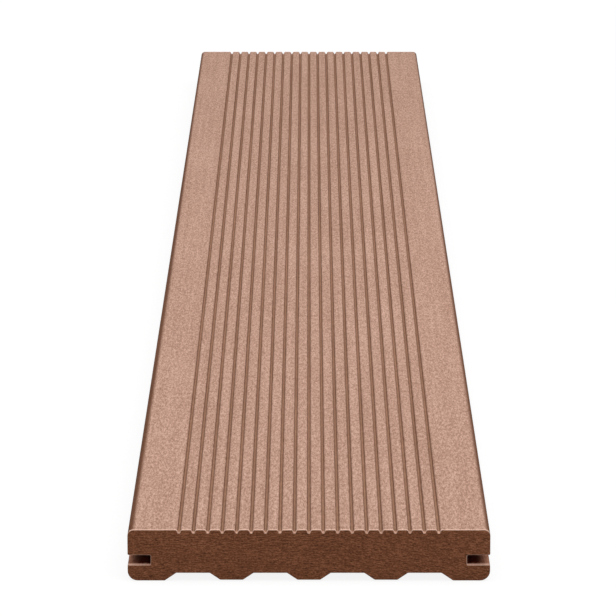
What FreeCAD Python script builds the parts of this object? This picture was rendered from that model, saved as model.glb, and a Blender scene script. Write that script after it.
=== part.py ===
"""Solid wood-plastic decking board: one extruded plank with a ribbed walking face.

Millimetres. X runs across the board, Y along it and Z up. The origin is under the middle of the
board, on the plane of its two outer feet.
"""
import FreeCAD, Part
import Sketcher
import math
import os

V = FreeCAD.Vector

# Driving dimensions: name, value, what it measures.
SIZES = [
    ("board_length", 1200, "length between the two sawn ends"),
    ("board_width", 145, "width over the two side faces"),
    ("board_thickness", 21, "height of the walking face above the outer feet"),
    ("top_edge_radius", 2.5, "rounding of the two upper long edges"),
    ("bottom_edge_radius", 4, "rounding of the two lower long edges"),
    ("groove_pitch", 5.77, "spacing of the grooves, as near as whole grooves allow"),
    ("groove_margin", 20.6, "side face to the middle of the first groove"),
    ("groove_opening", 2.9, "groove width at the walking face, over its rounded lips"),
    ("groove_floor_width", 0.8, "flat floor of a groove"),
    ("groove_depth", 1.4, "walking face to groove floor"),
    ("groove_lip_radius", 0.8, "rounding of the rib edges beside a groove"),
    ("slot_depth", 9.3, "side face to the back wall of a clip slot"),
    ("slot_height", 4.2, "clear height of a clip slot"),
    ("slot_sill", 6.4, "lower lip: outer feet to the floor of a clip slot"),
    ("slot_lip_radius", 0.5, "rounding of the two edges where a clip slot opens"),
    ("channel_count", 4, "channels in the underside, evenly spaced"),
    ("channel_margin", 26.15, "side face to the middle of the first channel"),
    ("channel_mouth_width", 22.7, "channel width at the plane of the outer feet"),
    ("channel_roof_width", 13.4, "flat roof of a channel"),
    ("channel_depth", 3.15, "outer feet to channel roof"),
    ("foot_relief", 0.3, "how far the inner feet stop above the plane of the outer feet"),
    ("foot_edge_radius", 1, "rounding of the feet's edges beside a channel"),
    ("inner_corner_radius", 0.5, "rounding inside the slots and channels"),
]

# Worked out from the driving dimensions: name, formula, what it measures.
DERIVED = [
    ("groove_span", "=board_width - 2 * groove_margin", "first groove to last groove"),
    ("groove_count", "=round(groove_span / groove_pitch) + 1", "grooves in the walking face"),
    ("channel_span", "=board_width - 2 * channel_margin", "first channel to last channel"),
]

SHEET = "Sizes"

# Two places nearer than this are the same, in millimetres.
NEAR = 0.01

# A sketch's own numbers for the points of a piece and for its two axes.
START, END, CENTRE = 1, 2, 3
HORIZONTAL_AXIS, VERTICAL_AXIS = -1, -2
ORIGIN = (HORIZONTAL_AXIS, START)


def make_sheet(doc):
    """The sheet of sizes, one row for each, with the name in column A and the value in column B."""
    sheet = doc.addObject("Spreadsheet::Sheet", SHEET)
    for row, (name, value, meaning) in enumerate(SIZES + DERIVED, start=1):
        sheet.set(f"A{row}", name)
        sheet.set(f"B{row}", str(value))
        sheet.setAlias(f"B{row}", name)
        sheet.set(f"C{row}", meaning)
    doc.recompute()
    return sheet


def plane(body, role):
    """One of the body's own origin planes or axes."""
    return next(item for item in body.Origin.OriginFeatures if item.Role == role)


def section_sketch(body, name, shift=None):
    """A sketch on the board's cross-section plane: sketch x is X and sketch y is Z."""
    sketch = body.newObject("Sketcher::SketchObject", name)
    sketch.AttachmentSupport = [(plane(body, "XZ_Plane"), "")]
    sketch.MapMode = "FlatFace"
    if shift:
        sketch.setExpression("AttachmentOffset.Base.x", shift)
    return sketch


def line(sketch, start, end):
    """A straight stretch of a profile, and its number in the sketch."""
    return sketch.addGeometry(Part.LineSegment(V(*start, 0), V(*end, 0)), False)


def arc(sketch, middle, radius, first, last):
    """A round stretch of a profile, counter-clockwise between two angles in radians."""
    circle = Part.Circle(V(*middle, 0), V(0, 0, 1), radius)
    return sketch.addGeometry(Part.ArcOfCircle(circle, first, last), False)


def constrain(sketch, *rule):
    """A rule between pieces of a profile, and its number in the sketch."""
    return sketch.addConstraint(Sketcher.Constraint(*rule))


def dimension(sketch, formula, *rule):
    """A rule whose size follows a formula of the sheet's names."""
    number = constrain(sketch, *rule)
    sketch.setExpression(f"Constraints[{number}]", formula)


def chain(sketch, rule, pieces):
    """Joins each piece's end to the next piece's start, and the last to the first."""
    for piece, following in zip(pieces, pieces[1:] + pieces[:1]):
        constrain(sketch, rule, piece, END, following, START)


def along_board(feature, sketch):
    """Runs a profile along the whole board, to both sides of its middle."""
    feature.Profile = sketch
    feature.SideType = "Symmetric"
    feature.Type = "Length"
    feature.setExpression("Length", f"{SHEET}.board_length")


def pad(body, name, sketch):
    along_board(body.newObject("PartDesign::Pad", name), sketch)


def pocket(body, name, sketch):
    feature = body.newObject("PartDesign::Pocket", name)
    along_board(feature, sketch)
    return feature


def row_across(body, name, original, count, span):
    """Repeats a cut across the board."""
    pattern = body.newObject("PartDesign::LinearPattern", name)
    pattern.Originals = [original]
    pattern.Direction = (plane(body, "X_Axis"), [""])
    pattern.Mode = "Extent"
    pattern.setExpression("Length", span)
    pattern.setExpression("Occurrences", count)
    body.Tip = pattern


def round_edges(body, name, radius, wanted):
    """Rounds the edges that run along the board and whose place in the section is wanted."""
    base = body.Tip
    edges = []
    for number, edge in enumerate(base.Shape.Edges, start=1):
        box = edge.BoundBox
        if max(box.XLength, box.ZLength) < NEAR and wanted(abs(box.Center.x), box.Center.z):
            edges.append(f"Edge{number}")
    feature = body.newObject("PartDesign::Fillet", name)
    feature.Base = (base, edges)
    feature.setExpression("Radius", radius)
    body.Document.recompute()


def blank_profile(body, size):
    """The plank before it is cut: a rectangle with rounded corners."""
    sketch = section_sketch(body, "BlankProfile")
    half = size.board_width / 2
    top, low, high = size.board_thickness, size.bottom_edge_radius, size.top_edge_radius
    quarter = math.pi / 2
    bottom = line(sketch, (low - half, 0), (half - low, 0))
    low_right = arc(sketch, (half - low, low), low, -quarter, 0)
    right = line(sketch, (half, low), (half, top - high))
    high_right = arc(sketch, (half - high, top - high), high, 0, quarter)
    walk = line(sketch, (half - high, top), (high - half, top))
    high_left = arc(sketch, (high - half, top - high), high, quarter, 2 * quarter)
    left = line(sketch, (-half, top - high), (-half, low))
    low_left = arc(sketch, (low - half, low), low, 2 * quarter, 3 * quarter)
    chain(sketch, "Tangent", [bottom, low_right, right, high_right, walk, high_left, left, low_left])
    constrain(sketch, "Symmetric", bottom, START, bottom, END, VERTICAL_AXIS)
    constrain(sketch, "PointOnObject", bottom, START, HORIZONTAL_AXIS)
    constrain(sketch, "Vertical", right)
    constrain(sketch, "Vertical", left)
    constrain(sketch, "Horizontal", walk)
    constrain(sketch, "Equal", low_right, low_left)
    constrain(sketch, "Equal", high_right, high_left)
    dimension(sketch, f"{SHEET}.bottom_edge_radius", "Radius", low_right, low)
    dimension(sketch, f"{SHEET}.top_edge_radius", "Radius", high_right, high)
    dimension(sketch, f"{SHEET}.board_width", "DistanceX", left, END, right, START, 2 * half)
    dimension(sketch, f"{SHEET}.board_thickness", "DistanceY", bottom, END, walk, START, top)
    return sketch


def slot_profile(body, size):
    """The clip slot in the right-hand side face, open to the side."""
    sketch = section_sketch(body, "ClipSlotProfile")
    face = size.board_width / 2
    back = face - size.slot_depth
    floor = size.slot_sill
    roof = floor + size.slot_height
    pieces = [
        line(sketch, (back, floor), (face, floor)),
        line(sketch, (face, floor), (face, roof)),
        line(sketch, (face, roof), (back, roof)),
        line(sketch, (back, roof), (back, floor)),
    ]
    chain(sketch, "Coincident", pieces)
    slot_floor, mouth, slot_roof, back_wall = pieces
    constrain(sketch, "Horizontal", slot_floor)
    constrain(sketch, "Horizontal", slot_roof)
    constrain(sketch, "Vertical", mouth)
    constrain(sketch, "Vertical", back_wall)
    dimension(sketch, f"{SHEET}.slot_depth", "DistanceX", slot_floor, START, slot_floor, END, face - back)
    dimension(sketch, f"{SHEET}.slot_height", "DistanceY", mouth, START, mouth, END, roof - floor)
    dimension(sketch, f"{SHEET}.slot_sill", "DistanceY", *ORIGIN, slot_floor, END, floor)
    dimension(sketch, f"{SHEET}.board_width / 2", "DistanceX", *ORIGIN, slot_floor, END, face)
    return sketch


def channel_profile(body, size):
    """The first channel of the underside: a trapezium that narrows upwards."""
    sketch = section_sketch(body, "ChannelProfile", f"-{SHEET}.channel_span / 2")
    mouth_half = size.channel_mouth_width / 2
    roof_half = size.channel_roof_width / 2
    roof = size.channel_depth
    pieces = [
        line(sketch, (-mouth_half, 0), (mouth_half, 0)),
        line(sketch, (mouth_half, 0), (roof_half, roof)),
        line(sketch, (roof_half, roof), (-roof_half, roof)),
        line(sketch, (-roof_half, roof), (-mouth_half, 0)),
    ]
    chain(sketch, "Coincident", pieces)
    mouth, _, ceiling, _ = pieces
    constrain(sketch, "Symmetric", mouth, START, mouth, END, VERTICAL_AXIS)
    constrain(sketch, "Symmetric", ceiling, START, ceiling, END, VERTICAL_AXIS)
    constrain(sketch, "PointOnObject", mouth, START, HORIZONTAL_AXIS)
    dimension(sketch, f"{SHEET}.channel_mouth_width", "DistanceX", mouth, START, mouth, END, 2 * mouth_half)
    dimension(
        sketch, f"{SHEET}.channel_roof_width", "DistanceX", ceiling, END, ceiling, START, 2 * roof_half
    )
    dimension(sketch, f"{SHEET}.channel_depth", "DistanceY", mouth, END, ceiling, START, roof)
    return sketch


def relief_profile(body, size):
    """A shallow cut from the first channel to the last, which shortens the feet between them."""
    sketch = section_sketch(body, "FootReliefProfile")
    half = size.channel_span / 2
    height = size.foot_relief
    pieces = [
        line(sketch, (-half, 0), (half, 0)),
        line(sketch, (half, 0), (half, height)),
        line(sketch, (half, height), (-half, height)),
        line(sketch, (-half, height), (-half, 0)),
    ]
    chain(sketch, "Coincident", pieces)
    base, right, roof, left = pieces
    constrain(sketch, "Symmetric", base, START, base, END, VERTICAL_AXIS)
    constrain(sketch, "PointOnObject", base, START, HORIZONTAL_AXIS)
    constrain(sketch, "Vertical", right)
    constrain(sketch, "Vertical", left)
    constrain(sketch, "Horizontal", roof)
    dimension(sketch, f"{SHEET}.channel_span", "DistanceX", base, START, base, END, 2 * half)
    dimension(sketch, f"{SHEET}.foot_relief", "DistanceY", right, START, right, END, height)
    return sketch


def groove_profile(body, size):
    """The first groove of the walking face: flat floor, drafted walls and rounded lips."""
    sketch = section_sketch(body, "GrooveProfile", f"-{SHEET}.groove_span / 2")
    top, radius = size.board_thickness, size.groove_lip_radius
    floor = top - size.groove_depth
    floor_half = size.groove_floor_width / 2
    lip = size.groove_opening / 2

    # Each wall leaves the floor's corner as a tangent of the lip's circle.
    across, up = lip - floor_half, top - radius - floor
    slope = math.atan2(up, across) + math.asin(radius / math.hypot(across, up))
    wall_top = (lip - radius * math.sin(slope), top - radius + radius * math.cos(slope))

    base = line(sketch, (-floor_half, floor), (floor_half, floor))
    right_wall = line(sketch, (floor_half, floor), wall_top)
    right_lip = arc(sketch, (lip, top - radius), radius, math.pi / 2, slope + math.pi / 2)
    mouth = line(sketch, (lip, top), (-lip, top))
    left_lip = arc(sketch, (-lip, top - radius), radius, math.pi / 2 - slope, math.pi / 2)
    left_wall = line(sketch, (-wall_top[0], wall_top[1]), (-floor_half, floor))
    constrain(sketch, "Coincident", base, END, right_wall, START)
    constrain(sketch, "Tangent", right_wall, END, right_lip, END)
    constrain(sketch, "Coincident", right_lip, START, mouth, START)
    constrain(sketch, "Coincident", mouth, END, left_lip, END)
    constrain(sketch, "Tangent", left_lip, START, left_wall, START)
    constrain(sketch, "Coincident", left_wall, END, base, START)
    constrain(sketch, "Vertical", right_lip, CENTRE, right_lip, START)
    constrain(sketch, "Vertical", left_lip, CENTRE, left_lip, END)
    constrain(sketch, "Symmetric", base, START, base, END, VERTICAL_AXIS)
    constrain(sketch, "Symmetric", mouth, START, mouth, END, VERTICAL_AXIS)
    constrain(sketch, "Equal", right_lip, left_lip)
    dimension(sketch, f"{SHEET}.groove_lip_radius", "Radius", right_lip, radius)
    dimension(sketch, f"{SHEET}.groove_floor_width", "DistanceX", base, START, base, END, 2 * floor_half)
    dimension(sketch, f"{SHEET}.groove_opening", "DistanceX", mouth, END, mouth, START, 2 * lip)
    dimension(sketch, f"{SHEET}.groove_depth", "DistanceY", base, END, mouth, START, top - floor)
    dimension(sketch, f"{SHEET}.board_thickness", "DistanceY", *ORIGIN, mouth, START, top)
    return sketch


def round_section(body, size):
    """Rounds the edges of the feet and slots, and the corners inside the slots and channels."""
    side = size.board_width / 2
    slot_back = side - size.slot_depth
    slot_roof = size.slot_sill + size.slot_height
    channels_end = (size.channel_span + size.channel_mouth_width) / 2

    def at_slot(z):
        return size.slot_sill - NEAR < z < slot_roof + NEAR

    def foot_edge(x, z):
        return x < channels_end + NEAR and z < size.foot_relief + NEAR

    def slot_lip(x, z):
        return x > side - NEAR and at_slot(z)

    def inner_corner(x, z):
        in_slot = abs(x - slot_back) < NEAR and at_slot(z)
        in_channel = x < channels_end and abs(z - size.channel_depth) < NEAR
        return in_slot or in_channel

    round_edges(body, "FootEdges", f"{SHEET}.foot_edge_radius", foot_edge)
    round_edges(body, "SlotLips", f"{SHEET}.slot_lip_radius", slot_lip)
    round_edges(body, "InnerCorners", f"{SHEET}.inner_corner_radius", inner_corner)


def make_board(doc, size):
    """The plank, cut by its clip slots, the channels under it and the grooves in its walking face."""
    body = doc.addObject("PartDesign::Body", "decking_board")
    body.Label = "decking_board"
    pad(body, "Blank", blank_profile(body, size))

    slot = pocket(body, "ClipSlot", slot_profile(body, size))
    doc.recompute()
    slots = body.newObject("PartDesign::Mirrored", "ClipSlots")
    slots.Originals = [slot]
    slots.MirrorPlane = (plane(body, "YZ_Plane"), [""])
    body.Tip = slots

    channel = pocket(body, "Channel", channel_profile(body, size))
    doc.recompute()
    row_across(body, "Channels", channel, f"{SHEET}.channel_count", f"{SHEET}.channel_span")
    pocket(body, "FootRelief", relief_profile(body, size))
    doc.recompute()
    round_section(body, size)

    groove = pocket(body, "Groove", groove_profile(body, size))
    doc.recompute()
    row_across(body, "Grooves", groove, f"{SHEET}.groove_count", f"{SHEET}.groove_span")
    doc.recompute()
    return body


def check(doc, body):
    """Stops the build if an object failed, a step did nothing or the solid isn't sound."""
    for item in doc.Objects:
        if "Invalid" in item.State or "Error" in item.State:
            raise RuntimeError(f"{item.Name} failed: {item.State}")
    steps = [
        "Blank", "ClipSlot", "ClipSlots", "Channel", "Channels", "FootRelief",
        "FootEdges", "SlotLips", "InnerCorners", "Groove", "Grooves",
    ]
    # Only the rounding of inner corners adds material.
    volumes = [doc.getObject(step).Shape.Volume for step in steps]
    for step, before, after in zip(steps[1:], volumes, volumes[1:]):
        gained = after - before
        if gained == 0 or (gained > 0) != (step == "InnerCorners"):
            raise RuntimeError(f"{step} changed the volume by {gained} mm3")
    shape = body.Shape
    if shape.isNull() or not shape.isValid() or len(shape.Solids) != 1:
        raise RuntimeError(f"{body.Label} isn't one sound solid")


def main():
    doc = FreeCAD.newDocument("decking_board")
    board = make_board(doc, make_sheet(doc))
    check(doc, board)
    os.makedirs("parts", exist_ok=True)
    board.Shape.exportStep(f"parts/{board.Label}.step")
    box = board.Shape.BoundBox
    print(f"{board.Label}: {box.XLength:.2f} x {box.YLength:.2f} x {box.ZLength:.2f} mm")
    print(f"volume {board.Shape.Volume:.1f} mm3, {len(board.Shape.Faces)} faces")


main()
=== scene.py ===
"""Look of the decking board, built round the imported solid, with its studio and camera.

The section is drawn in millimetres and the pieces are made in metres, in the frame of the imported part:
X across the board, Y along it and Z up.
"""

import math
from types import SimpleNamespace

import bpy
import numpy as np
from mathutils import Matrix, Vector, geometry, noise


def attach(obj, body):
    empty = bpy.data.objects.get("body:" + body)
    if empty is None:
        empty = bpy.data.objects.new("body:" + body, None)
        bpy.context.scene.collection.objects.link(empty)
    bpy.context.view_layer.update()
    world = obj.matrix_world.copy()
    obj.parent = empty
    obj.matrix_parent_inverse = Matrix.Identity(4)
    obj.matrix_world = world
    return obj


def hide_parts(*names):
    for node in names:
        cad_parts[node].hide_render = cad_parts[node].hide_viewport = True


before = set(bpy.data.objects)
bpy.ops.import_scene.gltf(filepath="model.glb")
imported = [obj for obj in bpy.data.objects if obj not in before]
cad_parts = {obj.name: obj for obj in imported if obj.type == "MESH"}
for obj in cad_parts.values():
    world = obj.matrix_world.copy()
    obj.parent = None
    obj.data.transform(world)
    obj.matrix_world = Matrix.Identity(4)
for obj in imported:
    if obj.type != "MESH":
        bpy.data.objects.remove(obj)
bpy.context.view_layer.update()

# Sizes in millimetres, the same as in the part's source
MM = 0.001
LENGTH = 1200.0
WIDTH = 145.0
THICKNESS = 21.0
TOP_EDGE_RADIUS = 2.5
BOTTOM_EDGE_RADIUS = 4.0
GROOVE_COUNT = 19
GROOVE_MARGIN = 20.6
GROOVE_PITCH = (WIDTH - 2 * GROOVE_MARGIN) / (GROOVE_COUNT - 1)
GROOVE_OPENING = 2.9
GROOVE_FLOOR_WIDTH = 0.8
GROOVE_DEPTH = 1.4
GROOVE_LIP_RADIUS = 0.8
SLOT_DEPTH = 9.3
SLOT_HEIGHT = 4.2
SLOT_SILL = 6.4
SLOT_LIP_RADIUS = 0.5
CHANNEL_PITCH = 30.9
CHANNEL_MOUTH_WIDTH = 22.7
CHANNEL_ROOF_WIDTH = 13.4
CHANNEL_DEPTH = 3.15
FOOT_RELIEF = 0.3
FOOT_EDGE_RADIUS = 1.0
INNER_CORNER_RADIUS = 0.5

# Places that follow from the sizes, in millimetres
SIDE = WIDTH / 2
HALF_LENGTH = LENGTH / 2
GROOVE_FLOOR = THICKNESS - GROOVE_DEPTH
SLOT_BACK = SIDE - SLOT_DEPTH
SLOT_ROOF = SLOT_SILL + SLOT_HEIGHT

# Rounding at the bottom of the grooves, in millimetres, too small for the solid
GROOVE_FLOOR_RADIUS = 0.25

# A point this near to a level face lies on it, in millimetres
NEAR = 0.001

# Mesh density: cells in millimetres, steps of an arc, stretches along the board, and the rings of an
# end's rounded edge, from the sawn end (0) to the long faces (1)
FACE_CELL = 0.8
PLAIN_CELL = 2.5
ARC_STEP = math.radians(14)
STATIONS = 104
EDGE_RINGS = (0.0, 0.5, 1.0)

# Flat map for baking, from 0 to 1: long faces below the split, sawn ends side by side above it.
# The walking face and the rows at the ends get more room than their size.
MAP_MARGIN = 0.003
MAP_SPLIT = 0.9
MAP_FACE_SHARE = 2.4
MAP_END_SHARE = 4.0

# Relief, in millimetres
BRUSH_DEPTH = 0.05
END_EDGE = 0.14
END_EDGE_CHANGE = 0.05
SAW_DEPTH = 0.12
SAW_CELL = (0.9, 0.45)
SAW_CLEARANCE = 0.3
BODY_BUMP = 0.06
END_BUMP = 0.08

# How far the grid of points on a sawn end is shaken, as a share of its cells, and the seed for that
SAW_SHAKE = 0.25
SAW_SEED = 11

# Filling of a sawn end: only triangles inside its border, and points this near become one, in millimetres
INSIDE_ONLY = 1
JOIN_GAP = 1e-5

# The board's two materials, by their place in its list
BODY, SAWN = 0, 1

# How far the borders between the body's tones wander, in millimetres
RAGGED = 0.6

# How far the painted highlight beside the saw cuts frays, in millimetres
FRAY = 2.0

# How far the brushed zone lies off the board's middle, in millimetres: painted shade that widens the dark
# left edge and narrows the right one
PAINTED_SHADE_SHIFT = 0.4

# How much farther out the brushed zone reaches at the far end, in millimetres
BRUSH_SPREAD = 0.9

# Where the saw strokes start to bend down, in millimetres, and how steeply they do
BEND_START = 10.0
BEND_SLOPE = 0.16

# Floor: its radius and its drop below the board, in metres, and the number of its corners
FLOOR_RADIUS = 6.0
FLOOR_DROP = 0.0002
FLOOR_CORNERS = 96

# How much of the floor's look is its own glow, how strong that is near the board and far off, and where
# it changes, in millimetres from the board's middle
GLOW_SHARE = 0.75
NEAR_GLOW = 1.17
FAR_GLOW = 1.34
GLOW_CHANGE = (750.0, 1600.0)

# Even light from all round
SURROUND = 0.2

# Camera of the photograph, fitted to the board's outline: lens in millimetres, metres aside, ahead and
# above the middle of the upper front edge, and degrees down and round
CAMERA_LENS = 248.5508
CAMERA_PLACE = (0.00006, 1.63717, 0.45617)
CAMERA_DOWN = 12.5826
CAMERA_TURN = 0.0146


# The section

def groove_corners(middle):
    """The four corners of a groove, from right to left: lip, floor, floor, lip."""
    floor_half = GROOVE_FLOOR_WIDTH / 2
    across = GROOVE_OPENING / 2 - floor_half
    up = GROOVE_DEPTH - GROOVE_LIP_RADIUS
    slope = math.atan2(up, across) + math.asin(GROOVE_LIP_RADIUS / math.hypot(across, up))
    lip_half = floor_half + GROOVE_DEPTH / math.tan(slope)
    return [
        (middle + lip_half, THICKNESS, GROOVE_LIP_RADIUS),
        (middle + floor_half, GROOVE_FLOOR, GROOVE_FLOOR_RADIUS),
        (middle - floor_half, GROOVE_FLOOR, GROOVE_FLOOR_RADIUS),
        (middle - lip_half, THICKNESS, GROOVE_LIP_RADIUS),
    ]


def right_half():
    """Corners (x, z, radius) of the right half, from the middle foot round to the middle groove."""
    mouth = CHANNEL_MOUTH_WIDTH / 2
    roof = CHANNEL_ROOF_WIDTH / 2
    short_mouth = mouth - (mouth - roof) * FOOT_RELIEF / CHANNEL_DEPTH
    inner, outer = CHANNEL_PITCH / 2, 1.5 * CHANNEL_PITCH
    corners = [(0.0, FOOT_RELIEF, 0.0)]
    for middle in (inner, outer):
        corners.append((middle - short_mouth, FOOT_RELIEF, FOOT_EDGE_RADIUS))
        corners.append((middle - roof, CHANNEL_DEPTH, INNER_CORNER_RADIUS))
        corners.append((middle + roof, CHANNEL_DEPTH, INNER_CORNER_RADIUS))
        if middle == inner:
            corners.append((middle + short_mouth, FOOT_RELIEF, FOOT_EDGE_RADIUS))
    corners += [
        (outer + mouth, 0.0, FOOT_EDGE_RADIUS),
        (SIDE, 0.0, BOTTOM_EDGE_RADIUS),
        (SIDE, SLOT_SILL, SLOT_LIP_RADIUS),
        (SLOT_BACK, SLOT_SILL, INNER_CORNER_RADIUS),
        (SLOT_BACK, SLOT_ROOF, INNER_CORNER_RADIUS),
        (SIDE, SLOT_ROOF, SLOT_LIP_RADIUS),
        (SIDE, THICKNESS, TOP_EDGE_RADIUS),
    ]
    for place in range(GROOVE_COUNT // 2, 0, -1):
        corners += groove_corners(place * GROOVE_PITCH)
    corners += groove_corners(0.0)[:2]
    corners.append((0.0, GROOVE_FLOOR, 0.0))
    return corners


def run_points(start, end):
    """Points of a straight run after its start and before its end, each with the outward normal."""
    along = end - start
    length = float(np.hypot(*along))
    normal = np.array([along[1], -along[0]]) / length
    on_face = min(start[1], end[1]) > THICKNESS - NEAR
    cells = max(1, round(length / (FACE_CELL if on_face else PLAIN_CELL)))
    return [(*(start + along * k / cells), *normal) for k in range(1, cells)]


def arc_points(corner, radius, come, leave):
    """Points of the arc that rounds a corner, from the run that comes to the run that leaves."""
    turn = math.atan2(come[0] * leave[1] - come[1] * leave[0], float(come @ leave))
    start = corner - come * radius * math.tan(abs(turn) / 2)
    side = math.copysign(1.0, turn)
    middle = start + radius * side * np.array([-come[1], come[0]])
    steps = max(3, round(abs(turn) / ARC_STEP))
    first = math.atan2(*(start - middle)[::-1])
    points = []
    for k in range(steps + 1):
        angle = first + turn * k / steps
        out = np.array([math.cos(angle), math.sin(angle)])
        points.append((*(middle + radius * out), *(side * out)))
    return points


def half_outline(corners):
    """Points (x, z, normal x, normal z) of the rounded line through the corners."""
    places = [np.array(corner[:2]) for corner in corners]
    points = [(*places[0], 0.0, -1.0)]
    for k in range(1, len(corners)):
        start = np.array(points[-1][:2])
        come = places[k] - places[k - 1]
        come = come / np.hypot(*come)
        if k == len(corners) - 1:
            points += run_points(start, places[k])
            points.append((*places[k], 0.0, 1.0))
            break
        leave = places[k + 1] - places[k]
        arc = arc_points(places[k], corners[k][2], come, leave / np.hypot(*leave))
        points += run_points(start, np.array(arc[0][:2])) + arc
    return np.array(points)


def whole_outline():
    """The closed section, anticlockwise as seen from the front end."""
    right = half_outline(right_half())
    left = right[::-1][1:-1] * np.array([-1.0, 1.0, -1.0, 1.0])
    return np.concatenate([right, left])


# Relief

def bumps(place, size, seed):
    """Noise from -1 to 1 at a place on a surface, with bumps of the given size in millimetres."""
    return noise.noise(Vector((place[0] / size[0], place[1] / size[1], seed)))


def brushed_depth(x, y):
    """How far lengthwise brushing has worn the walking face down, in millimetres."""
    wide = bumps((x, y), (2.3, 260.0), 3.1)
    fine = bumps((x, y), (0.9, 90.0), 17.7)
    return BRUSH_DEPTH * (0.5 + 0.3 * wide + 0.2 * fine)


def saw_depth(x, z, end):
    """How far the saw's level strokes cut into an end, in millimetres."""
    apart = 40.0 * end
    stroke = bumps((x, z), (34.0, 0.62), 5.0 + apart)
    dash = bumps((x, z), (3.4, 0.5), 9.0 + apart)
    grit = bumps((x, z), (0.9, 0.8), 29.0 + apart)
    return SAW_DEPTH * min(1.0, max(0.0, 0.45 + 0.4 * stroke + 0.4 * dash + 0.25 * grit))


def edge_size(travel, end):
    """Size of the rounded, slightly ragged edge of an end, in millimetres."""
    ragged = bumps((travel, 4.0 + 30.0 * end), (2.1, 1.0), 0.0)
    return END_EDGE + END_EDGE_CHANGE * max(-1.0, min(1.0, 1.6 * ragged))


# The board's mesh

def edge_ring(section, sizes, place):
    """One ring of an end's rounded edge, and how far each of its points lies behind the end."""
    lean = place * math.pi / 2
    inset = sizes * (1.0 - math.sin(lean))
    behind = sizes * (1.0 - math.cos(lean))
    return section[:, :2] - section[:, 2:] * inset[:, None], behind


def board_rings(section, travel):
    """Rings (points, places along the board) from the front end to the back end."""
    front, back = (np.array([edge_size(t, end) for t in travel[:-1]]) for end in range(2))
    rings = []
    for place in EDGE_RINGS:
        points, behind = edge_ring(section, front, place)
        rings.append((points, behind - HALF_LENGTH))
    for y in np.linspace(-HALF_LENGTH, HALF_LENGTH, STATIONS + 1)[1:-1]:
        rings.append((section[:, :2].copy(), np.full(len(section), y)))
    for place in reversed(EDGE_RINGS):
        points, behind = edge_ring(section, back, place)
        rings.append((points, HALF_LENGTH - behind))
    on_face = np.flatnonzero(section[:, 1] > THICKNESS - NEAR)
    for points, ys in rings:
        for k in on_face:
            points[k, 1] -= brushed_depth(points[k, 0], ys[k])
    return rings


def places_for(shares, low, high):
    """Places from low to high, with a gap for each share."""
    return low + (high - low) * np.concatenate([[0.0], np.cumsum(shares)]) / np.sum(shares)


def map_lines(section, steps, rings):
    """Lines of the flat map, round the section and along the board."""
    low = np.minimum(section[:, 1], np.roll(section[:, 1], -1))
    on_top = low > GROOVE_FLOOR - NEAR
    rounds = steps * np.where(on_top, MAP_FACE_SHARE, 1.0)
    rows = np.array([np.mean(after[1] - before[1]) for before, after in zip(rings, rings[1:])])
    rows[:len(EDGE_RINGS)] *= MAP_END_SHARE
    rows[-len(EDGE_RINGS):] *= MAP_END_SHARE
    return (
        places_for(rounds, MAP_MARGIN, 1.0 - MAP_MARGIN),
        places_for(rows, MAP_MARGIN, MAP_SPLIT - MAP_MARGIN),
    )


def end_spot(x, z, end):
    """Place of a point of a sawn end on the flat map."""
    u = MAP_MARGIN + (x / WIDTH + 0.5) * (0.5 - 2 * MAP_MARGIN)
    v = MAP_SPLIT + MAP_MARGIN + z / THICKNESS * (1.0 - MAP_SPLIT - 2 * MAP_MARGIN)
    return u + 0.5 * end, v


def long_faces(section, steps, rings):
    """Faces between the rings, and their corners on the flat map."""
    count = len(section)
    map_u, map_v = map_lines(section, steps, rings)
    faces, maps = [], []
    for j in range(len(rings) - 1):
        here, there = j * count, (j + 1) * count
        v0, v1 = map_v[j], map_v[j + 1]
        for k in range(count):
            after = (k + 1) % count
            u0, u1 = map_u[k], map_u[k + 1]
            faces.append((here + k, there + k, there + after, here + after))
            maps.append([(u0, v0), (u0, v1), (u1, v1), (u1, v0)])
    return faces, maps


def inside(points, loop):
    """Which points lie inside a closed loop, farther from it than the clearance."""
    ahead = np.roll(loop, -1, axis=0)
    within = np.zeros(len(points), bool)
    nearest = np.full(len(points), np.inf)
    px, pz = points[:, 0], points[:, 1]
    for (ax, az), (bx, bz) in zip(loop, ahead):
        if az != bz:
            crosses = (az > pz) != (bz > pz)
            within ^= crosses & (px < ax + (bx - ax) * (pz - az) / (bz - az))
        dx, dz = bx - ax, bz - az
        part = np.clip(((px - ax) * dx + (pz - az) * dz) / (dx * dx + dz * dz), 0.0, 1.0)
        gap = np.hypot(px - ax - part * dx, pz - az - part * dz)
        nearest = np.minimum(nearest, gap)
    return within & (nearest > SAW_CLEARANCE)


def cap_points(loop, draw):
    """Points inside an end for the saw's relief, on a grid that is shaken a little."""
    xs = np.arange(-SIDE, SIDE, SAW_CELL[0])
    zs = np.arange(0.0, THICKNESS, SAW_CELL[1])
    grid = np.stack(np.meshgrid(xs, zs), -1).reshape(-1, 2)
    grid += draw.uniform(-SAW_SHAKE, SAW_SHAKE, grid.shape) * np.array(SAW_CELL)
    return grid[inside(grid, loop)]


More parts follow.
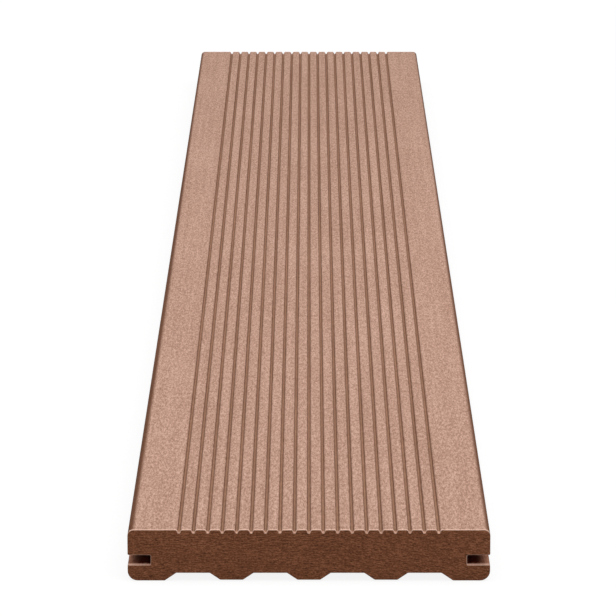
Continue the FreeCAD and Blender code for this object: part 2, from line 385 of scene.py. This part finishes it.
def sawn_end(loop, loop_start, free, end, draw):
    """New points of a sawn end, numbered from free on, its faces, and their corners on the flat map."""
    count = len(loop)
    flat = [Vector(point) for point in np.concatenate([loop, cap_points(loop, draw)])]
    border = [(k, (k + 1) % count) for k in range(count)]
    found = geometry.delaunay_2d_cdt(flat, border, [], INSIDE_ONLY, JOIN_GAP)
    places, triangles, origins = found[0], found[2], found[3]
    numbers, verts = [], []
    for place, origin in zip(places, origins):
        first = min(origin)
        if first < count:
            numbers.append(loop_start + first)
        else:
            numbers.append(free + len(verts))
            deep = saw_depth(place.x, place.y, end)
            verts.append((place.x, HALF_LENGTH - deep if end else deep - HALF_LENGTH, place.y))
    faces, maps = [], []
    for triangle in triangles:
        corners = list(triangle)
        a, b, c = (places[k] for k in corners)
        turned = (b.x - a.x) * (c.y - a.y) - (b.y - a.y) * (c.x - a.x) < 0
        if turned != bool(end):
            corners.reverse()
        faces.append(tuple(numbers[k] for k in corners))
        maps.append([end_spot(places[k].x, places[k].y, end) for k in corners])
    return verts, faces, maps


def build_board():
    """The whole plank: swept section, rounded end edges and sawn ends, with a flat map for baking."""
    section = whole_outline()
    count = len(section)
    steps = np.hypot(*(np.roll(section[:, :2], -1, axis=0) - section[:, :2]).T)
    travel = np.concatenate([[0.0], np.cumsum(steps)])
    rings = board_rings(section, travel)
    verts = [(x, y, z) for points, ys in rings for (x, z), y in zip(points, ys)]
    faces, maps = long_faces(section, steps, rings)
    kinds = [BODY] * len(faces)
    draw = np.random.default_rng(SAW_SEED)
    for end, ring in ((0, 0), (1, len(rings) - 1)):
        added = sawn_end(rings[ring][0], ring * count, len(verts), end, draw)
        for whole, more in zip((verts, faces, maps), added):
            whole.extend(more)
        kinds += [SAWN] * len(added[1])

    mesh = bpy.data.meshes.new("board")
    mesh.from_pydata([(x * MM, y * MM, z * MM) for x, y, z in verts], [], faces)
    layer = mesh.uv_layers.new(name="OFBake")
    flat_map = np.array([spot for face in maps for spot in face])
    layer.data.foreach_set("uv", flat_map.ravel().astype(np.float32))
    mesh.polygons.foreach_set("material_index", kinds)
    mesh.polygons.foreach_set("use_smooth", [True] * len(faces))
    mesh.update()
    mesh.validate()
    board = bpy.data.objects.new("board", mesh)
    bpy.context.scene.collection.objects.link(board)
    return board


# Nodes

def new_material(name):
    """An empty material and its node tree."""
    material = bpy.data.materials.new(name)
    material.use_nodes = True
    tree = material.node_tree
    tree.nodes.clear()
    return material, tree


def add(tree, kind, inputs=None, **settings):
    """A node with its settings, and its inputs either set or linked."""
    node = tree.nodes.new(kind)
    for name, value in settings.items():
        setattr(node, name, value)
    for name, value in (inputs or {}).items():
        socket = node.inputs[name]
        if isinstance(value, bpy.types.NodeSocket):
            tree.links.new(value, socket)
        else:
            socket.default_value = value
    return node


def grain(tree, coords, size, detail=2.0, roughness=0.55, seed=0.0):
    """Noise from 0 to 1, with blobs of the given size in millimetres along X, Y and Z."""
    scale = [1.0 / (MM * s) for s in size]
    place = add(tree, "ShaderNodeMapping", {"Vector": coords, "Location": (seed,) * 3, "Scale": scale})
    made = add(
        tree, "ShaderNodeTexNoise",
        {"Vector": place.outputs["Vector"], "Scale": 1.0, "Detail": detail, "Roughness": roughness},
    )
    return made.outputs["Fac"]


def maths(tree, operation, first, second=0.0):
    """A value worked out from one or two others."""
    return add(tree, "ShaderNodeMath", {0: first, 1: second}, operation=operation).outputs["Value"]


def weighted(tree, parts):
    """The sum of values, each times its weight."""
    total = 0.0
    for value, weight in parts:
        node = add(tree, "ShaderNodeMath", {0: value, 1: weight, 2: total}, operation="MULTIPLY_ADD")
        total = node.outputs["Value"]
    return total


def ramp(tree, value, stops):
    """A colour that follows a value, from (place, colour) stops."""
    node = add(tree, "ShaderNodeValToRGB", {"Fac": value})
    elements = node.color_ramp.elements
    while len(elements) < len(stops):
        elements.new(0.5)
    for element, (place, colour) in zip(elements, stops):
        element.position = place
        element.color = (*colour, 1.0)
    return node.outputs["Color"]


def fade(tree, value, low, high, start=0.0, end=1.0):
    """A smooth step from start to end, as a value goes from low to high."""
    node = add(
        tree, "ShaderNodeMapRange",
        {"Value": value, "From Min": low, "From Max": high, "To Min": start, "To Max": end},
        interpolation_type="SMOOTHSTEP",
    )
    return node.outputs["Result"]


def fade_over(tree, place, low, high, start=0.0, end=1.0):
    """A smooth step from start to end, as a place goes from low to high in millimetres."""
    return fade(tree, place, low * MM, high * MM, start, end)


def mix(tree, factor, first, second):
    """A colour between two others."""
    return add(tree, "ShaderNodeMix", {0: factor, 6: first, 7: second}, data_type="RGBA").outputs[2]


def matte(tree, colour, roughness, relief, bump, specular):
    """Ends a material in a matte surface, with fine bumps of a height in millimetres."""
    bumpy = add(tree, "ShaderNodeBump", {"Strength": 0.5, "Distance": bump * MM, "Height": relief})
    shader = add(
        tree, "ShaderNodeBsdfPrincipled",
        {"Base Color": colour, "Roughness": roughness, "Normal": bumpy.outputs["Normal"],
         "Specular IOR Level": specular},
    )
    out = add(tree, "ShaderNodeOutputMaterial")
    tree.links.new(shader.outputs["BSDF"], out.inputs["Surface"])


# The body's material

def body_values(tree):
    """Grains and tones of the composite, places on the board, and where its slots and grooves are."""
    coords = add(tree, "ShaderNodeTexCoord").outputs["Object"]
    split = add(tree, "ShaderNodeSeparateXYZ", {0: coords}).outputs
    at = SimpleNamespace(x=split["X"], y=split["Y"], z=split["Z"])
    at.fine = grain(tree, coords, (0.45, 1.8, 0.45), detail=1.0, roughness=0.5, seed=3.0)
    at.speckle = grain(tree, coords, (0.88, 4.1, 0.95), detail=2.0, roughness=0.6, seed=11.0)
    streak = grain(tree, coords, (2.2, 170.0, 2.2), detail=2.0, roughness=0.5, seed=23.0)
    patch = grain(tree, coords, (38.0, 70.0, 38.0), detail=2.0, roughness=0.5, seed=31.0)
    at.skin_tone = weighted(tree, [(at.fine, 0.3), (at.speckle, 0.4), (streak, 0.3)])
    at.face_tone = weighted(tree, [(at.fine, 0.45), (at.speckle, 0.38), (streak, 0.11), (patch, 0.06)])

    # Ragged distances from the middle of the board and from the floor
    at.ragged = maths(tree, "MULTIPLY", at.speckle, RAGGED * MM)
    at.across = maths(tree, "ADD", maths(tree, "ABSOLUTE", at.x), at.ragged)
    at.height = maths(tree, "ADD", at.z, at.ragged)

    half_slot = SLOT_HEIGHT / 2
    from_slot = maths(tree, "SUBTRACT", at.z, (SLOT_SILL + half_slot) * MM)
    from_slot = maths(tree, "ABSOLUTE", from_slot)
    at.in_slot = fade_over(tree, from_slot, half_slot + 0.05, half_slot + 0.15, 1.0, 0.0)
    above = fade_over(tree, at.z, GROOVE_FLOOR - 0.4, GROOVE_FLOOR - 0.2)
    ribbed = SIDE - GROOVE_MARGIN + GROOVE_PITCH / 2
    within = fade_over(tree, at.across, ribbed - 1.0, ribbed, 1.0, 0.0)
    at.in_grooves = maths(tree, "MULTIPLY", above, within)
    return at


def with_skin(tree, at):
    """Dark skin, with rubbed feet, and slots with painted shade at the back and painted light at the mouth.
    """
    skin = ramp(
        tree, at.skin_tone,
        [(0.35, (0.092, 0.034, 0.015)), (0.5, (0.149, 0.059, 0.029)), (0.65, (0.215, 0.093, 0.05))],
    )
    rubbed = ramp(tree, at.skin_tone, [(0.35, (0.15, 0.066, 0.036)), (0.65, (0.33, 0.165, 0.1))])
    foot = fade_over(tree, at.z, 0.4, 0.9, 0.6, 0.0)
    skin = mix(tree, foot, skin, rubbed)

    # Painted shade in the slots: darkest at the back, fading out towards the mouth
    painted_slot_shade = ramp(tree, at.speckle, [(0.3, (0.06, 0.006, 0.001)), (0.7, (0.13, 0.015, 0.003))])
    deep = fade_over(tree, at.across, SLOT_BACK + 3.0, SIDE - 0.5, 0.95, 0.0)
    at_back = fade_over(tree, at.across, SLOT_BACK - 1.0, SLOT_BACK - 0.2)
    slot_shade_share = maths(tree, "MULTIPLY", maths(tree, "MULTIPLY", at.in_slot, deep), at_back)
    colour = mix(tree, slot_shade_share, skin, painted_slot_shade)

    # Painted light in the slots: paler towards their open mouth
    painted_slot_light = ramp(tree, at.speckle, [(0.3, (0.4, 0.175, 0.108)), (0.7, (0.6, 0.3, 0.2))])
    mouth = fade_over(tree, at.across, SIDE - 5.4, SIDE - 0.3)
    return mix(tree, maths(tree, "MULTIPLY", at.in_slot, mouth), colour, painted_slot_light)


def with_grooves(tree, at, colour):
    """The colour with dull grooves: painted shade on their walls and painted light on their floors, which
    are paler.
    """
    # Painted shade on the groove walls; the floor colour below is painted light
    shaded_wall = ramp(
        tree, at.skin_tone,
        [(0.35, (0.14, 0.056, 0.029)), (0.5, (0.203, 0.086, 0.045)), (0.65, (0.272, 0.122, 0.068))],
    )
    floor = ramp(
        tree, at.skin_tone,
        [(0.35, (0.262, 0.138, 0.085)), (0.5, (0.345, 0.189, 0.119)), (0.65, (0.443, 0.251, 0.164))],
    )
    on_floor = fade_over(tree, at.z, GROOVE_FLOOR + 0.05, GROOVE_FLOOR + 0.35, 1.0, 0.0)
    return mix(tree, at.in_grooves, colour, mix(tree, on_floor, shaded_wall, floor))


def with_brushing(tree, at, colour):
    """The colour with the walking face brushed pale."""
    face = ramp(
        tree, at.face_tone,
        [(0.375, (0.345, 0.185, 0.127)), (0.5, (0.535, 0.319, 0.236)), (0.625, (0.725, 0.47, 0.37))],
    )
    raised = fade_over(tree, at.height, THICKNESS - 0.65, THICKNESS - 0.05)
    # The brushed zone is shifted right: painted shade on the board's left edge
    off_middle = maths(tree, "SUBTRACT", at.x, PAINTED_SHADE_SHIFT * MM)
    spread = fade_over(tree, at.y, -LENGTH / 4, HALF_LENGTH, 0.0, BRUSH_SPREAD * MM)
    from_brush = maths(tree, "ADD", maths(tree, "ABSOLUTE", off_middle), at.ragged)
    from_brush = maths(tree, "SUBTRACT", from_brush, spread)
    inward = fade_over(tree, from_brush, SIDE - 2.6, SIDE - 0.7, 1.0, 0.0)
    return mix(tree, maths(tree, "MULTIPLY", raised, inward), colour, face)


def with_painted_edge_highlight(tree, at, colour):
    """The colour with a pale painted highlight beside the saw cuts, longer in the hollows as painted light
    on the slot sills and groove ends, and fainter on the sides.
    """
    # Painted highlight: a pale edge along the top of each sawn end, at half strength round its other edges
    pale = ramp(tree, at.speckle, [(0.3, (0.7, 0.44, 0.335)), (0.7, (0.9, 0.6, 0.475))])
    frayed = maths(tree, "MULTIPLY", at.fine, FRAY * MM)
    frayed = maths(tree, "ADD", maths(tree, "ABSOLUTE", at.y), frayed)
    near_top = fade_over(tree, at.z, THICKNESS - 1.5, THICKNESS - 0.5, 0.5, 1.0)
    near_end = fade_over(tree, frayed, HALF_LENGTH - 0.7, HALF_LENGTH + 0.3)
    worn = maths(tree, "MULTIPLY", near_top, near_end)

    # Painted light in the hollows near the ends: on the slot sills and in patches in the grooves
    sunk = fade_over(tree, at.z, THICKNESS - 1.0, THICKNESS - 0.5, 1.0, 0.0)
    groove_light_patches = maths(tree, "MULTIPLY", sunk, fade(tree, at.fine, 0.35, 0.65, 0.35, 0.85))
    hollow = maths(tree, "MAXIMUM", at.in_slot, maths(tree, "MULTIPLY", at.in_grooves, groove_light_patches))
    longer = fade_over(tree, frayed, HALF_LENGTH - 2.5, HALF_LENGTH - 1.0)
    worn = maths(tree, "MAXIMUM", worn, maths(tree, "MULTIPLY", hollow, longer))
    return mix(tree, worn, colour, pale)


def body_material():
    """Extruded composite: brushed pale on the walking face, dull in the grooves and dark elsewhere."""
    material, tree = new_material("composite_body")
    at = body_values(tree)
    colour = with_skin(tree, at)
    colour = with_grooves(tree, at, colour)
    colour = with_brushing(tree, at, colour)
    colour = with_painted_edge_highlight(tree, at, colour)
    roughness = fade(tree, at.face_tone, 0.3, 0.7, 0.74, 0.9)
    relief = weighted(tree, [(at.fine, 0.5), (at.speckle, 0.5)])
    matte(tree, colour, roughness, relief, bump=BODY_BUMP, specular=0.08)
    return material


# The sawn ends' material

def end_material():
    """Dark sawn composite, with saw strokes that bend down to one side and flecks of wood flour."""
    material, tree = new_material("composite_sawn")
    coords = add(tree, "ShaderNodeTexCoord").outputs["Object"]
    split = add(tree, "ShaderNodeSeparateXYZ", {0: coords}).outputs
    past = maths(tree, "MAXIMUM", maths(tree, "SUBTRACT", split["X"], BEND_START * MM), 0.0)
    bent_z = maths(tree, "ADD", maths(tree, "MULTIPLY", past, BEND_SLOPE), split["Z"])
    bent = add(tree, "ShaderNodeCombineXYZ", {0: split["X"], 1: split["Y"], 2: bent_z}).outputs[0]
    dash = grain(tree, bent, (2.3, 2.3, 0.42), detail=2.0, roughness=0.6, seed=5.0)
    stroke = grain(tree, bent, (30.0, 30.0, 0.6), detail=2.0, roughness=0.5, seed=13.0)
    fleck = grain(tree, coords, (0.75, 0.75, 0.4), detail=1.0, roughness=0.5, seed=19.0)
    patch = grain(tree, coords, (16.0, 16.0, 6.0), detail=2.0, roughness=0.5, seed=27.0)
    tone = weighted(tree, [(dash, 0.47), (stroke, 0.14), (fleck, 0.36), (patch, 0.03)])
    colour = ramp(
        tree, tone,
        [(0.375, (0.075, 0.022, 0.007)), (0.5, (0.215, 0.071, 0.028)), (0.625, (0.4, 0.161, 0.078))],
    )
    roughness = fade(tree, tone, 0.4, 0.8, 0.78, 0.92)
    relief = weighted(tree, [(dash, 0.6), (fleck, 0.4)])
    matte(tree, colour, roughness, relief, bump=END_BUMP, specular=0.25)
    return material


# Studio

def seen_directly(tree):
    """1 for rays that show the studio itself to the camera, also in gloss and glass."""
    path = add(tree, "ShaderNodeLightPath").outputs
    gloss = maths(tree, "MAXIMUM", path["Is Glossy Ray"], path["Is Transmission Ray"])
    return maths(tree, "MAXIMUM", path["Is Camera Ray"], gloss)


def floor_material():
    """Pale floor that lights the board plainly, and shows white with a soft shadow."""
    material, tree = new_material("studio_floor")
    coords = add(tree, "ShaderNodeTexCoord").outputs["Object"]
    cloud = grain(tree, coords, (400.0, 400.0, 400.0))
    colour = ramp(tree, cloud, [(0.3, (0.62, 0.62, 0.62)), (0.7, (0.65, 0.65, 0.65))])
    plain = add(tree, "ShaderNodeBsdfDiffuse", {"Color": colour}).outputs[0]
    away = add(tree, "ShaderNodeVectorMath", {0: coords}, operation="LENGTH").outputs["Value"]
    strength = fade_over(tree, away, *GLOW_CHANGE, NEAR_GLOW, FAR_GLOW)
    glow = add(tree, "ShaderNodeEmission", {"Color": (1.0, 1.0, 1.0, 1.0), "Strength": strength}).outputs[0]
    white = add(tree, "ShaderNodeMixShader", {0: GLOW_SHARE, 1: plain, 2: glow}).outputs[0]
    shown = add(tree, "ShaderNodeMixShader", {0: seen_directly(tree), 1: plain, 2: white}).outputs[0]
    out = add(tree, "ShaderNodeOutputMaterial")
    tree.links.new(shown, out.inputs["Surface"])
    return material


def build_floor():
    """A round floor under the board."""
    angles = [2 * math.pi * k / FLOOR_CORNERS for k in range(FLOOR_CORNERS)]
    rim = [(FLOOR_RADIUS * math.cos(a), FLOOR_RADIUS * math.sin(a), -FLOOR_DROP) for a in angles]
    mesh = bpy.data.meshes.new("floor")
    mesh.from_pydata(rim, [], [list(range(FLOOR_CORNERS))])
    mesh.materials.append(floor_material())
    floor = bpy.data.objects.new("floor", mesh)
    bpy.context.scene.collection.objects.link(floor)


def build_world():
    """White to the eye, and a low even light from all round."""
    world = bpy.data.worlds.new("studio")
    bpy.context.scene.world = world
    world.use_nodes = True
    tree = world.node_tree
    tree.nodes.clear()
    light, shown = (
        add(tree, "ShaderNodeBackground", {"Color": (1.0, 1.0, 1.0, 1.0), "Strength": strength}).outputs[0]
        for strength in (SURROUND, 1.0)
    )
    both = add(tree, "ShaderNodeMixShader", {0: seen_directly(tree), 1: light, 2: shown}).outputs[0]
    out = add(tree, "ShaderNodeOutputWorld")
    tree.links.new(both, out.inputs["Surface"])


def build_lamp(name, place, aim, size, power):
    """A large soft lamp."""
    data = bpy.data.lights.new(name, "AREA")
    data.shape = "RECTANGLE"
    data.size, data.size_y = size
    data.energy = power
    lamp = bpy.data.objects.new(name, data)
    lamp.location = place
    lamp.rotation_euler = (Vector(aim) - Vector(place)).to_track_quat("-Z", "Y").to_euler()
    bpy.context.scene.collection.objects.link(lamp)


def build_camera():
    """The photograph's view."""
    data = bpy.data.cameras.new("camera")
    data.sensor_width = 36.0
    data.lens = CAMERA_LENS
    data.clip_end = 100.0
    camera = bpy.data.objects.new("camera", data)
    aside, ahead, above = CAMERA_PLACE
    camera.location = (aside, -HALF_LENGTH * MM - ahead, THICKNESS * MM + above)
    camera.rotation_euler = (math.radians(90.0 - CAMERA_DOWN), 0.0, math.radians(CAMERA_TURN))
    bpy.context.scene.collection.objects.link(camera)
    bpy.context.scene.camera = camera


board = build_board()
board.data.materials.append(body_material())
board.data.materials.append(end_material())
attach(board, "root")
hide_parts("decking_board")

build_floor()
build_world()
build_lamp("overhead", place=(0.35, -0.6, 2.4), aim=(0.2, -0.5, 0.0), size=(3.0, 4.5), power=79.0)
build_camera()
bpy.context.scene.view_settings.view_transform = "Standard"
